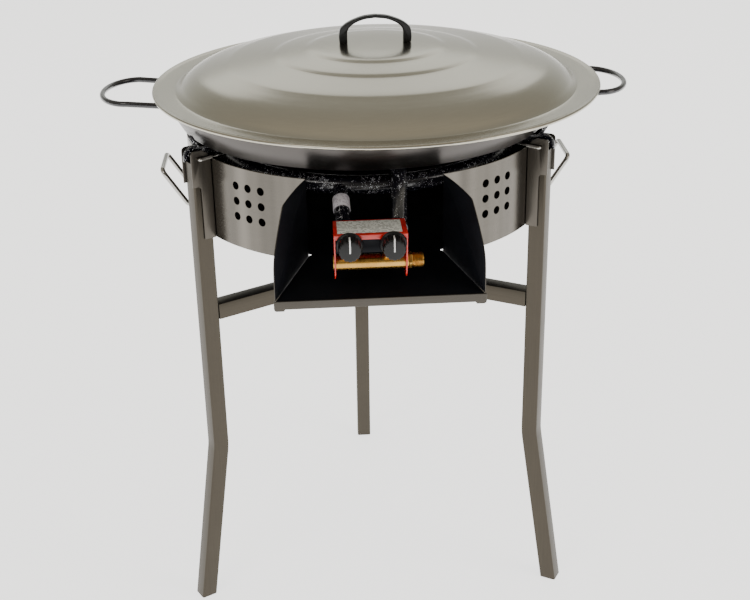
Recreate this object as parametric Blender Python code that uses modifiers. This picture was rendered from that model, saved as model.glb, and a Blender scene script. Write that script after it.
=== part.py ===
"""Paella gas cooking set: three-legged stand, wind shield, two-ring burner, pan and lid.

World frame: metres, +Z up, ground at z = 0, the gas controls face -Y.
Every piece is built round the pan's vertical axis and hangs on one empty that stands on it.
"""
import math

import bmesh
import bpy
from mathutils import Matrix, Vector

SET_NAME = "paella_gas_cooking_set"

# ---- driving dimensions (metres, degrees) ---------------------------------------------
GAP = 0.0003                  # clearance kept between touching pieces
ROUND_STEPS = 72              # facets round the pan, the lid and the shield
AXIS_Y = 0.0207               # pan axis behind the middle of the set's own box

LEG_AZIMUTH = {"left": 210.0, "right": 330.0, "rear": 90.0}
LEG_TUBE = 0.025
LEG_WALL = 0.0015
LEG_RADIUS = 0.2865           # upper, upright part of a leg
KNEE_Z = 0.268
FOOT_RADIUS = 0.3285
LEG_TOP_Z = 0.735

SHIELD_RADIUS = 0.271         # outer face
SHIELD_SHEET = 0.0015
SHIELD_BOTTOM_Z = 0.620
SHIELD_TOP_Z = 0.741
OPENING_HALF = 0.0945         # control opening in the shield
VENT_DIAMETER = 0.012
VENT_STEP_DEG = 4.85
VENT_AZIMUTH = (229.8, 310.2)
VENT_Z = (0.6675, 0.6903, 0.7130)

TRAY_FRONT_Y = -0.350
TRAY_FRONT_HALF = 0.142
TRAY_FRONT_Z = 0.603
TRAY_BACK_Z = 0.6290
RELIEF_RADIUS = 0.0020        # holes at the inner ends of the tray's bend
TRAY_SHEET = 0.0015

BRACE_TOP_Z = 0.511
BRACE_TUBE = 0.025
HUB_RADIUS = 0.024            # centre to the middle of a flat
HUB_SIDES = 6

SOCKET_WIDTH = 0.031
SOCKET_SHEET = 0.002
PIN_RADIUS_AT = 0.290         # distance of the cross pin from the pan axis
PIN_Z = 0.742
PIN_ROD = 0.0025

RING_Z = 0.7155
OUTER_RING = 0.215
INNER_RING = 0.115
RING_TUBE = 0.0135            # outer radius of both ring tubes
MIX_TUBE = 0.0110             # outer radius of a mixing tube
MIX_WALL = 0.0015

PAN_BOTTOM_Z = 0.755
PAN_RIM_RADIUS = 0.300
PAN_RIM_Z = 0.8030
PAN_SHEET = 0.002
PAN_TURN_DEG = -1.8           # the loose pan sits turned a little clockwise

LID_RIM_RADIUS = 0.3355
LID_FLANGE_Z = 0.8060
LID_SHEET = 0.0015
HANDLE_HALF = 0.0535
LID_SHIFT_X = 0.0185          # the loose lid lies a little to the right on the pan

BRACKET_X = -0.0115
BRACKET_WIDTH = 0.097
BRACKET_TOP_Z = 0.6965
BRACKET_BACK_Y = -0.300
BRACKET_FRONT_Y = -0.355
VALVE_X = {"left": -0.0400, "right": 0.0175}
VALVE_Z = 0.6845
MANIFOLD_Y = -0.331
MANIFOLD_Z = 0.6490
KNOB_RADIUS = 0.0165

STAINLESS = ("brushed_stainless", (0.56, 0.54, 0.50), 1.0, 0.32)
POLISHED = ("polished_stainless", (0.66, 0.65, 0.62), 1.0, 0.18)
CHROME = ("bright_wire", (0.80, 0.80, 0.78), 1.0, 0.12)
ENAMEL = ("speckled_enamel", (0.012, 0.012, 0.014), 0.0, 0.25)
BLACK_SHEET = ("black_sheet", (0.015, 0.016, 0.018), 0.0, 0.40)
BLACK_PLASTIC = ("black_plastic", (0.010, 0.010, 0.010), 0.0, 0.35)
RED_PAINT = ("red_paint", (0.60, 0.03, 0.02), 0.0, 0.35)
BRASS = ("brass", (0.70, 0.48, 0.16), 1.0, 0.28)
LABEL = ("label", (0.55, 0.56, 0.52), 0.0, 0.55)
WHITE = ("white_mark", (0.80, 0.80, 0.80), 0.0, 0.45)


# ---- scene set-up ---------------------------------------------------------------------
def clear_scene():
    for obj in list(bpy.data.objects):
        bpy.data.objects.remove(obj, do_unlink=True)


def new_collection(name):
    coll = bpy.data.collections.new(name)
    bpy.context.scene.collection.children.link(coll)
    return coll


clear_scene()
PARTS = new_collection(SET_NAME)
CUTTERS = new_collection("cutters")
AXIS = bpy.data.objects.new("pan_axis", None)
AXIS.location = (0.0, AXIS_Y, 0.0)
PARTS.objects.link(AXIS)


def material(spec):
    name, colour, metallic, roughness = spec
    mat = bpy.data.materials.get(name)
    if mat is None:
        mat = bpy.data.materials.new(name)
        mat.use_nodes = True
        shader = mat.node_tree.nodes["Principled BSDF"]
        shader.inputs["Base Color"].default_value = (*colour, 1.0)
        shader.inputs["Metallic"].default_value = metallic
        shader.inputs["Roughness"].default_value = roughness
        mat.diffuse_color = (*colour, 1.0)
    return mat


# ---- shape helpers --------------------------------------------------------------------
def add_object(name, mesh, spec, location=(0, 0, 0), turn_z=0.0, parent=None):
    """Put a mesh in the parts collection, turned about Z by degrees."""
    obj = bpy.data.objects.new(name, mesh)
    obj.location = location
    obj.rotation_euler[2] = math.radians(turn_z)
    obj.parent = parent or AXIS
    PARTS.objects.link(obj)
    obj.data.materials.append(material(spec))
    return obj


def as_cutter(mesh, location=(0, 0, 0), turn_z=0.0):
    obj = bpy.data.objects.new("cut", mesh)
    obj.location = location
    obj.rotation_euler[2] = math.radians(turn_z)
    obj.parent = AXIS
    obj.hide_render = True
    obj.display_type = "WIRE"
    CUTTERS.objects.link(obj)
    return obj


def boolean(obj, cutter, operation="DIFFERENCE"):
    mod = obj.modifiers.new("cut", "BOOLEAN")
    mod.operation = operation
    mod.object = cutter


def smooth(mesh, angle=35.0):
    mesh.shade_smooth()
    mesh.set_sharp_from_angle(angle=math.radians(angle))


def bm_to_mesh(bm, name):
    bmesh.ops.recalc_face_normals(bm, faces=bm.faces)
    mesh = bpy.data.meshes.new(name)
    bm.to_mesh(mesh)
    bm.free()
    return mesh


def box_mesh(size, centre=(0, 0, 0)):
    bm = bmesh.new()
    bmesh.ops.create_cube(bm, size=1.0)
    bmesh.ops.scale(bm, vec=size, verts=bm.verts)
    bmesh.ops.translate(bm, vec=centre, verts=bm.verts)
    return bm_to_mesh(bm, "box")


def rod_mesh(radius, length, start=(0, 0, 0), direction=(0, 0, 1), sides=24, top_radius=None):
    """Cylinder or cone from start along direction."""
    bm = bmesh.new()
    bmesh.ops.create_cone(bm, cap_ends=True, segments=sides, radius1=radius,
                          radius2=radius if top_radius is None else top_radius, depth=length)
    bmesh.ops.translate(bm, vec=(0, 0, length / 2), verts=bm.verts)
    turn = Vector((0, 0, 1)).rotation_difference(Vector(direction).normalized())
    bm.transform(Matrix.Translation(start) @ turn.to_matrix().to_4x4())
    mesh = bm_to_mesh(bm, "rod")
    smooth(mesh)
    return mesh


def evaluated_mesh(obj):
    """The mesh of a curve or modified object, welded, with the source object removed."""
    graph = bpy.context.evaluated_depsgraph_get()
    mesh = bpy.data.meshes.new_from_object(obj.evaluated_get(graph))
    bm = bmesh.new()
    bm.from_mesh(mesh)
    bmesh.ops.remove_doubles(bm, verts=bm.verts, dist=0.00002)
    bpy.data.objects.remove(obj, do_unlink=True)
    return bm_to_mesh(bm, "welded")


def plate_mesh(outline, thickness, plane="XZ", offset=0.0):
    """Flat outline extruded symmetrically about its plane, then moved along the normal."""
    curve = bpy.data.curves.new("outline", "CURVE")
    curve.dimensions = "2D"
    curve.fill_mode = "BOTH"
    curve.extrude = thickness / 2
    spline = curve.splines.new("POLY")
    spline.points.add(len(outline) - 1)
    spline.use_cyclic_u = True
    for point, (a, b) in zip(spline.points, outline):
        point.co = (a, b, 0.0, 1.0)
    obj = bpy.data.objects.new("outline", curve)
    CUTTERS.objects.link(obj)
    mesh = evaluated_mesh(obj)
    if plane == "XZ":
        mesh.transform(Matrix.Translation((0, offset, 0)) @ Matrix.Rotation(math.pi / 2, 4, "X"))
    elif plane == "YZ":
        frame = Matrix(((0, 0, 1, offset), (1, 0, 0, 0), (0, 1, 0, 0), (0, 0, 0, 1)))
        mesh.transform(frame)
    else:
        mesh.transform(Matrix.Translation((0, 0, offset)))
    return mesh


def turned_mesh(profile, steps, ring=False):
    """Turn (radius, z) points about Z; the points run down the outer side, top to bottom."""
    bm = bmesh.new()
    verts = [bm.verts.new((r, 0.0, z)) for r, z in profile]
    pairs = list(zip(verts, verts[1:]))
    if ring:
        pairs.append((verts[-1], verts[0]))
    for a, b in pairs:
        bm.edges.new((a, b))
    mesh = bpy.data.meshes.new("profile")
    bm.to_mesh(mesh)
    bm.free()
    obj = bpy.data.objects.new("profile", mesh)
    CUTTERS.objects.link(obj)
    screw = obj.modifiers.new("turn", "SCREW")
    screw.steps = steps
    screw.render_steps = steps
    screw.use_merge_vertices = True
    screw.merge_threshold = 0.00001
    screw.use_normal_calculate = True
    turned = evaluated_mesh(obj)
    smooth(turned)
    return turned


def wire_mesh(points, radius, cyclic=False, sides_level=2):
    """Round rod along a polyline, with welded caps."""
    curve = bpy.data.curves.new("wire", "CURVE")
    curve.dimensions = "3D"
    curve.bevel_depth = radius
    curve.bevel_resolution = sides_level
    curve.use_fill_caps = not cyclic
    spline = curve.splines.new("POLY")
    spline.points.add(len(points) - 1)
    spline.use_cyclic_u = cyclic
    for point, co in zip(spline.points, points):
        point.co = (*co, 1.0)
    obj = bpy.data.objects.new("wire", curve)
    CUTTERS.objects.link(obj)
    mesh = evaluated_mesh(obj)
    smooth(mesh, 50.0)
    return mesh


def rounded_path(points, radius, steps=5):
    """Replace each inner corner of a polyline by an arc-like bend."""
    points = [Vector(p) for p in points]
    path = [points[0]]
    for before, corner, after in zip(points, points[1:], points[2:]):
        back = (before - corner).normalized()
        ahead = (after - corner).normalized()
        half_turn = (math.pi - back.angle(ahead)) / 2
        reach = min(radius * math.tan(half_turn), (before - corner).length * 0.48,
                    (after - corner).length * 0.48)
        start = corner + back * reach
        end = corner + ahead * reach
        for i in range(steps + 1):
            t = i / steps
            path.append(start * (1 - t) ** 2 + corner * 2 * t * (1 - t) + end * t ** 2)
    path.append(points[-1])
    return path


def arc_points(centre, radius, start_deg, end_deg, steps):
    step = (end_deg - start_deg) / steps
    angles = [math.radians(start_deg + step * i) for i in range(steps + 1)]
    return [(centre[0] + radius * math.cos(a), centre[1] + radius * math.sin(a)) for a in angles]


def joined(meshes):
    """One mesh holding several separate bodies, for cutters."""
    bm = bmesh.new()
    for mesh in meshes:
        bm.from_mesh(mesh)
    return bm_to_mesh(bm, "joined")


# ---- stand ----------------------------------------------------------------------------
def leg_outline(half, foot_z, top_z):
    """Side view of the bent tube: upright above the knee, splayed below it."""
    splay = math.atan2(FOOT_RADIUS - LEG_RADIUS, KNEE_Z)
    foot_half = half / math.cos(splay)
    knee_lift = half * math.tan(splay / 2)
    slope = math.tan(splay)
    foot_r = FOOT_RADIUS - foot_z * slope
    return [(LEG_RADIUS - half, top_z), (LEG_RADIUS - half, KNEE_Z - knee_lift),
            (foot_r - foot_half, foot_z), (foot_r + foot_half, foot_z),
            (LEG_RADIUS + half, KNEE_Z + knee_lift), (LEG_RADIUS + half, top_z)]


def make_legs():
    half = LEG_TUBE / 2
    bore = half - LEG_WALL
    for side, azimuth in LEG_AZIMUTH.items():
        leg = add_object(f"leg_{side}", plate_mesh(leg_outline(half, 0.0, LEG_TOP_Z), LEG_TUBE),
                         STAINLESS, turn_z=azimuth)
        cutter = plate_mesh(leg_outline(bore, -0.01, LEG_TOP_Z + 0.01), 2 * bore)
        boolean(leg, as_cutter(cutter, turn_z=azimuth))
        plug = plate_mesh(foot_plug_outline(bore - GAP), 2 * (bore - GAP))
        add_object(f"foot_plug_{side}", plug, BLACK_PLASTIC, turn_z=azimuth)


def foot_plug_outline(half):
    """Plug pressed into the open foot, flush with the cut end."""
    height = 0.016
    splay = math.atan2(FOOT_RADIUS - LEG_RADIUS, KNEE_Z)
    reach = half / math.cos(splay)
    lean = height * math.tan(splay)
    return [(FOOT_RADIUS - reach, 0.0), (FOOT_RADIUS + reach, 0.0),
            (FOOT_RADIUS + reach - lean, height), (FOOT_RADIUS - reach - lean, height)]


def make_sockets():
    """Channel welded to the shield; it hugs a leg and carries two ears for the cross pin."""
    inner = SHIELD_RADIUS + 0.0005
    outer = LEG_RADIUS + SOCKET_WIDTH / 2
    ear = arc_points((outer - 0.006, 0.7485), 0.006, 0, 90, 4)
    side_view = [(inner, SHIELD_BOTTOM_Z), (0.289, SHIELD_BOTTOM_Z), (0.289, 0.698), (0.292, 0.701),
                 (outer, 0.701), *ear, (0.284, 0.7545), (0.276, 0.7490), (inner, 0.7425)]
    room = SOCKET_WIDTH - 2 * SOCKET_SHEET
    for side, azimuth in LEG_AZIMUTH.items():
        socket = add_object(f"leg_socket_{side}", plate_mesh(side_view, SOCKET_WIDTH), STAINLESS,
                            turn_z=azimuth)
        middle = box_mesh((0.06, room, 0.2), (inner + SOCKET_SHEET + 0.03, 0, 0.70))
        boolean(socket, as_cutter(middle, turn_z=azimuth))
        throat = box_mesh((0.03, room, 0.02), (inner, 0, 0.7534))
        boolean(socket, as_cutter(throat, turn_z=azimuth))
        hole = rod_mesh(PIN_ROD + GAP, 0.08, (PIN_RADIUS_AT, 0.04, PIN_Z), (0, -1, 0), 16)
        boolean(socket, as_cutter(hole, turn_z=azimuth))


def make_pins():
    """Cross pins; the free end is bent inwards over the shield's edge as a finger hold."""
    reach = SOCKET_WIDTH / 2 + 0.0035
    hold_z = SHIELD_TOP_Z + 0.0012 + PIN_ROD
    for side, azimuth in LEG_AZIMUTH.items():
        near = -1.0 if side == "right" else 1.0
        path = rounded_path([(PIN_RADIUS_AT, -near * (SOCKET_WIDTH / 2 + 0.004), PIN_Z),
                             (PIN_RADIUS_AT, near * reach, PIN_Z),
                             (0.262, near * (reach + 0.0005), hold_z),
                             (0.237, near * (reach - 0.0035), hold_z)], 0.0035, 4)
        add_object(f"retaining_pin_{side}", wire_mesh(path, PIN_ROD), CHROME, turn_z=azimuth)


def make_braces():
    middle_z = BRACE_TOP_Z - BRACE_TUBE / 2
    inner = HUB_RADIUS + 0.0006
    outer = LEG_RADIUS - LEG_TUBE / 2 - GAP
    length = outer - inner
    bore = BRACE_TUBE - 2 * LEG_WALL
    for side, azimuth in LEG_AZIMUTH.items():
        tube = box_mesh((length, BRACE_TUBE, BRACE_TUBE), ((inner + outer) / 2, 0, middle_z))
        brace = add_object(f"brace_{side}", tube, STAINLESS, turn_z=azimuth)
        hollow = box_mesh((length + 0.02, bore, bore), ((inner + outer) / 2, 0, middle_z))
        boolean(brace, as_cutter(hollow, turn_z=azimuth))
    half = BRACE_TUBE / 2 + 0.0015
    corner = HUB_RADIUS / math.cos(math.pi / HUB_SIDES)
    outline = arc_points((0.0, 0.0), corner, 0, 360 - 360 / HUB_SIDES, HUB_SIDES - 1)
    add_object("brace_hub", plate_mesh(outline, 2 * half, "XY", middle_z), STAINLESS)


# ---- wind shield and control tray -----------------------------------------------------
def make_shield():
    inner = SHIELD_RADIUS - SHIELD_SHEET
    profile = [(SHIELD_RADIUS, SHIELD_TOP_Z), (SHIELD_RADIUS, SHIELD_BOTTOM_Z),
               (inner, SHIELD_BOTTOM_Z), (inner, SHIELD_TOP_Z)]
    shield = add_object("wind_shield", turned_mesh(profile, ROUND_STEPS, ring=True), STAINLESS)
    opening = box_mesh((2 * OPENING_HALF, 0.10, 0.30), (0, -SHIELD_RADIUS, 0.68))
    boolean(shield, as_cutter(opening))
    holes = []
    for block in VENT_AZIMUTH:
        for column in (-1, 0, 1):
            azimuth = math.radians(block + column * VENT_STEP_DEG)
            outward = (math.cos(azimuth), math.sin(azimuth), 0.0)
            for z in VENT_Z:
                start = (0.25 * outward[0], 0.25 * outward[1], z)
                holes.append(rod_mesh(VENT_DIAMETER / 2, 0.04, start, outward, 14))
    boolean(shield, as_cutter(joined(holes)))


def make_shield_floor():
    """Drip plate that closes the shield from below; its front is cut along the tray's bend."""
    radius = SHIELD_RADIUS - SHIELD_SHEET - GAP
    profile = [(0.0, TRAY_BACK_Z + 0.0012), (radius, TRAY_BACK_Z + 0.0012),
               (radius, TRAY_BACK_Z), (0.0, TRAY_BACK_Z)]
    plate = add_object("shield_floor", turned_mesh(profile, ROUND_STEPS), BLACK_SHEET)
    front = box_mesh((0.30, 0.10, 0.05), (0, -0.2505 - 0.05, TRAY_BACK_Z))
    boolean(plate, as_cutter(front))


def cheek_outline():
    """Cheek side view: distance along the cheek from the shield, height."""
    return [(0.0, 0.6215), (0.0, 0.7405), (0.024, 0.7380), (0.048, 0.7332), (0.064, 0.7288),
            (0.0695, 0.7265), (0.0735, 0.7215), (0.0830, 0.7045), (0.0930, 0.6840),
            (0.0990, 0.6700), (0.1030, 0.6560), (0.1046, 0.6420), (0.1050, 0.6180),
            (0.1050, 0.6047)]


def make_tray():
    run = TRAY_FRONT_HALF - OPENING_HALF
    depth = -0.2545 - TRAY_FRONT_Y
    flare = math.atan2(run, depth)
    for side, sign in (("left", -1.0), ("right", 1.0)):
        mesh = plate_mesh(cheek_outline(), TRAY_SHEET)
        direction = math.atan2(-math.cos(flare), sign * math.sin(flare))
        turn = Matrix.Rotation(direction, 4, "Z")
        start = (sign * (OPENING_HALF - 0.0006), -0.2550, 0.0)
        mesh.transform(Matrix.Translation(start) @ turn)
        add_object(f"tray_cheek_{side}", mesh, STAINLESS)
    back_y = -0.2508
    back_half = OPENING_HALF - 0.0015
    front_half = TRAY_FRONT_HALF - 0.0025
    outline = [(-back_half, back_y), (-back_half, -0.2560), (-front_half, TRAY_FRONT_Y + 0.0006),
               (front_half, TRAY_FRONT_Y + 0.0006), (back_half, -0.2560), (back_half, back_y)]
    floor = plate_mesh(outline, 0.0012, "XY")
    slope = math.atan2(TRAY_BACK_Z - TRAY_FRONT_Z, back_y - TRAY_FRONT_Y)
    shear = Matrix.Identity(4)
    shear[2][1] = math.tan(slope)
    shear[2][3] = TRAY_BACK_Z + 0.0006 - back_y * math.tan(slope)
    floor.transform(shear)
    floor_plate = add_object("tray_floor", floor, BLACK_SHEET)
    for sign in (-1.0, 1.0):
        corner = (sign * (back_half - 0.0012), back_y - 0.0022, TRAY_BACK_Z - 0.01)
        boolean(floor_plate, as_cutter(rod_mesh(RELIEF_RADIUS, 0.03, corner, sides=16)))
    make_tray_lip(front_half)


def make_tray_lip(front_half):
    """Folded front edge: a face plate turned down, with its two rounded corner ends."""
    y = TRAY_FRONT_Y - 0.0010
    height = 0.0150
    top = TRAY_FRONT_Z + 0.0016
    half = front_half + 0.0030
    corner = 0.004
    lower = top - height
    outline = [(-half, top), *arc_points((-half + corner, lower + corner), corner, 180, 270, 4),
               (-half + 0.0135, lower), (-half + 0.0150, lower + 0.0028),
               (half - 0.0150, lower + 0.0028), (half - 0.0135, lower),
               *arc_points((half - corner, lower + corner), corner, 270, 360, 4), (half, top)]
    add_object("tray_lip", plate_mesh(outline, 0.0020, "XZ", y), STAINLESS)


def make_side_handles():
    """Fixed wire bails on both sides, pointing out and up."""
    half = 0.042
    foot_x = -math.sqrt(SHIELD_RADIUS ** 2 - half ** 2) - 0.0013
    for side, sign in (("left", 1.0), ("right", -1.0)):
        points = [(foot_x, -half, 0.6330), (foot_x - 0.006, -half, 0.6350),
                  (-0.3095, -half, 0.6880), (-0.3095, half, 0.6880),
                  (foot_x - 0.006, half, 0.6350), (foot_x, half, 0.6330)]
        path = rounded_path([(sign * x, y, z) for x, y, z in points], 0.010, 5)
        add_object(f"shield_handle_{side}", wire_mesh(path, 0.0037), CHROME)


# ---- burner ---------------------------------------------------------------------------
def torus_mesh(ring_radius, tube_radius, steps, sides):
    profile = [(r, RING_Z + z) for r, z in arc_points((ring_radius, 0.0), tube_radius, 90,
                                                      90 - 360 * (sides - 1) / sides, sides - 1)]
    return turned_mesh(profile, steps, ring=True)


def arm_outline():
    """Flat bar on edge: saddles on both rings, carries the pan and hooks over the cross pin."""
    top = PAN_BOTTOM_Z - GAP
    under = 0.7347
    saddle = RING_Z + RING_TUBE + GAP
    pin = (PIN_RADIUS_AT, PIN_Z)
    outer_curl = arc_points(pin, 0.0165, 96, -18, 8)
    inner_curl = arc_points(pin, 0.0105, -18, 150, 9)
    return [(INNER_RING - 0.012, top), (0.2805, top), (0.2900, 0.7735), (0.2945, 0.7745),
            (0.2965, 0.7715), (0.2895, 0.7600), *outer_curl, *inner_curl,
            (0.2770, 0.7437), (0.2580, 0.7437), (0.2540, under),
            (OUTER_RING + 0.022, under), (OUTER_RING + 0.010, saddle), (OUTER_RING - 0.010, saddle),
            (OUTER_RING - 0.022, under), (INNER_RING + 0.022, under),
            (INNER_RING + 0.010, saddle), (INNER_RING - 0.010, saddle), (INNER_RING - 0.012, under)]


def mixing_paths():
    """Centre lines of the two mixing tubes, from the valve end to the ring."""
    mouth_y = -0.2996
    mouth_z = 0.6816
    left_x = -0.0465
    right_x = 0.0355
    over_z = 0.7432
    left_end_y = -math.sqrt(OUTER_RING ** 2 - left_x ** 2)
    right_end_y = -math.sqrt(INNER_RING ** 2 - right_x ** 2)
    left = [(-0.0450, mouth_y, mouth_z), (-0.0452, -0.286, mouth_z),
            (left_x, left_end_y, RING_Z - 0.0005)]
    right = [(0.0305, mouth_y, mouth_z), (0.0310, -0.284, mouth_z), (right_x, -0.229, over_z),
             (right_x, -0.158, over_z), (right_x, right_end_y, RING_Z)]
    return {"left": left, "right": right}


def make_burner():
    add_object("burner_outer_ring", torus_mesh(OUTER_RING, RING_TUBE, 60, 12), ENAMEL)
    add_object("burner_inner_ring", torus_mesh(INNER_RING, RING_TUBE, 40, 12), ENAMEL)
    for side, azimuth in LEG_AZIMUTH.items():
        add_object(f"burner_arm_{side}", plate_mesh(arm_outline(), 0.004), ENAMEL, turn_z=azimuth)
    ring_of = {"left": OUTER_RING, "right": INNER_RING}
    for side, points in mixing_paths().items():
        path = rounded_path(points, 0.030, 5)
        tube = add_object(f"mixing_tube_{side}", wire_mesh(path, MIX_TUBE, sides_level=5), ENAMEL)
        bore_path = rounded_path([extend(points[0], points[1], -0.01), *points[1:]], 0.030, 5)
        boolean(tube, as_cutter(wire_mesh(bore_path, MIX_TUBE - MIX_WALL, sides_level=3)))
        clear = torus_mesh(ring_of[side], RING_TUBE + 2 * GAP, 96, 20)
        boolean(tube, as_cutter(clear))
    make_tube_label()


def extend(start, toward, distance):
    """Point at a distance from start in the direction of another point."""
    start, toward = Vector(start), Vector(toward)
    return tuple(start + (toward - start).normalized() * distance)


def make_tube_label():
    """Paper sleeve round the left mixing tube."""
    start, end = (Vector(p) for p in mixing_paths()["left"][1:])
    direction = (end - start).normalized()
    begin = start + direction * 0.031
    sleeve = add_object("tube_label", rod_mesh(MIX_TUBE + 0.0009, 0.023, begin, direction, 28),
                        WHITE)
    bore = rod_mesh(MIX_TUBE + GAP, 0.05, begin - direction * 0.01, direction, 28)
    boolean(sleeve, as_cutter(bore))


# ---- gas controls ---------------------------------------------------------------------
def make_bracket():
    """Red U-shaped bracket: top plate with two cheeks that hang down and taper."""
    sheet = 0.002
    lower = BRACKET_TOP_Z - 0.0065
    middle_y = (BRACKET_BACK_Y + BRACKET_FRONT_Y) / 2
    depth = BRACKET_BACK_Y - BRACKET_FRONT_Y
    side_view = [(BRACKET_FRONT_Y, lower), (BRACKET_FRONT_Y, BRACKET_TOP_Z),
                 (BRACKET_BACK_Y, BRACKET_TOP_Z), (BRACKET_BACK_Y, 0.6880),
                 (-0.3160, 0.6560), (-0.3185, 0.6310), (-0.3240, 0.6255), (-0.3320, 0.6255),
                 (-0.3400, 0.6325), (-0.3480, 0.6560), (-0.3510, 0.6800)]
    bracket = add_object("valve_bracket", plate_mesh(side_view, BRACKET_WIDTH, "YZ", BRACKET_X),
                         RED_PAINT)
    room = box_mesh((BRACKET_WIDTH - 2 * sheet, depth - sheet, 0.2),
                    (BRACKET_X, middle_y + sheet / 2 + 0.0001, BRACKET_TOP_Z - sheet - 0.1))
    boolean(bracket, as_cutter(room))
    below = box_mesh((BRACKET_WIDTH - 2 * sheet, depth + 0.02, 0.2),
                     (BRACKET_X, middle_y, lower - 0.1))
    boolean(bracket, as_cutter(below))
    bore = rod_mesh(0.0108, 0.2, (-0.1, MANIFOLD_Y, MANIFOLD_Z), (1, 0, 0), 28)
    boolean(bracket, as_cutter(bore))
    label = box_mesh((0.085, 0.044, 0.0004),
                     (BRACKET_X - 0.001, -0.3270, BRACKET_TOP_Z + GAP + 0.0002))
    add_object("spec_label", label, LABEL)
    front = box_mesh((BRACKET_WIDTH - 2 * sheet - 2 * GAP, 0.002, 0.0195),
                     (BRACKET_X, -0.3500, 0.67975))
    plate = add_object("valve_front_plate", front, BLACK_SHEET)
    for x in VALVE_X.values():
        hole = rod_mesh(0.0055, 0.02, (x, -0.34, VALVE_Z), (0, -1, 0), 20)
        boolean(plate, as_cutter(hole))


def make_manifold():
    left_end = BRACKET_X - BRACKET_WIDTH / 2 - 0.0015
    tube = rod_mesh(0.0104, 0.1005, (left_end, MANIFOLD_Y, MANIFOLD_Z), (1, 0, 0), 28)
    add_object("gas_manifold", tube, BRASS)
    start = left_end + 0.1005 + GAP
    collar = rod_mesh(0.0112, 0.0048, (start, MANIFOLD_Y, MANIFOLD_Z), (1, 0, 0), 6)
    add_object("inlet_collar", collar, BRASS)
    profile = []
    length = 0.0145
    pitch = 0.0024
    crest = 0.0104
    root = 0.0094
    z = length
    profile.append((0.0062, z))
    profile.append((root, z))
    turns = int(length / pitch) - 1
    for i in range(turns):
        z = length - 0.0006 - i * pitch
        profile += [(crest, z - 0.0008), (root, z - 0.0016)]
    profile += [(root, 0.0), (0.0062, 0.0)]
    nipple = turned_mesh(profile, 24, ring=True)
    nipple.transform(Matrix.Translation((start + 0.0048 + GAP, MANIFOLD_Y, MANIFOLD_Z))
                     @ Matrix.Rotation(math.pi / 2, 4, "Y"))
    add_object("gas_inlet", nipple, BRASS)


def make_valve(side, x):
    """Valve body on the manifold, with its injector behind and a turning, pushing spindle."""
    low = MANIFOLD_Z + 0.0104 + GAP
    high = BRACKET_TOP_Z - 0.002 - GAP
    body = add_object(f"valve_body_{side}",
                      box_mesh((0.020, 0.0270, high - low), (x, -0.3353, (high + low) / 2)), BRASS)
    bore = rod_mesh(0.0040 + GAP, 0.020, (x, -0.3350, VALVE_Z), (0, -1, 0), 20)
    boolean(body, as_cutter(bore))
    nozzle_x = x + (-0.004 if side == "left" else 0.006)
    nozzle = rod_mesh(0.0040, 0.0085, (nozzle_x, -0.3353 + 0.0135 + GAP, VALVE_Z - 0.002),
                      (0, 1, 0), 16, top_radius=0.0025)
    add_object(f"injector_{side}", nozzle, BRASS)
    spindle_start = -0.3395
    spindle = rod_mesh(0.0040, 0.0190, (x, spindle_start, VALVE_Z), (0, -1, 0), 20)
    add_object(f"valve_spindle_{side}", spindle, CHROME)
    make_knob(side, x, spindle_start - 0.0190 - GAP)


def make_knob(side, x, back_y):
    """Fluted knob on a wider skirt, with a raised pointer bar; its origin is on its axis."""
    skirt = 0.004
    depth = 0.0235
    flutes = 14
    outline = []
    points = flutes * 4
    for i in range(points):
        angle = 2 * math.pi * i / points
        radius = KNOB_RADIUS - 0.0016 + 0.0007 * math.cos(flutes * angle)
        outline.append((radius * math.cos(angle), radius * math.sin(angle)))
    grip = plate_mesh(outline, depth - skirt + 0.0005, "XZ", -(skirt - 0.0005 + depth) / 2)
    knob = add_object(f"knob_{side}", grip, BLACK_PLASTIC, (x, back_y, VALVE_Z))
    disc = rod_mesh(KNOB_RADIUS + 0.0012, skirt, (0, 0, 0), (0, -1, 0), 36,
                    top_radius=KNOB_RADIUS)
    boolean(knob, as_cutter(disc, (x, back_y, VALVE_Z)), "UNION")
    slot = pointer_mesh(depth, 0.0026, 0.0019, 0.004)
    boolean(knob, as_cutter(slot, (x, back_y, VALVE_Z)))
    pointer = pointer_mesh(depth, 0.0020, 0.0019 - GAP, 0.0003)
    add_object(f"knob_pointer_{side}", pointer, WHITE, (x, back_y, VALVE_Z))


def pointer_mesh(depth, width, inset, proud):
    """Bar let into the knob's face from its middle to its rim, then back along its top."""
    rim = KNOB_RADIUS - 0.0009
    front = -depth - proud
    middle = -0.0030 + (0.0019 - inset)
    back = -depth + 0.0125 - (0.0019 - inset)
    outline = [(front, middle), (-depth + inset, middle), (-depth + inset, rim - inset),
               (back, rim - inset), (back, rim + proud), (front, rim + proud)]
    return plate_mesh(outline, width, "YZ")


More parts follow.
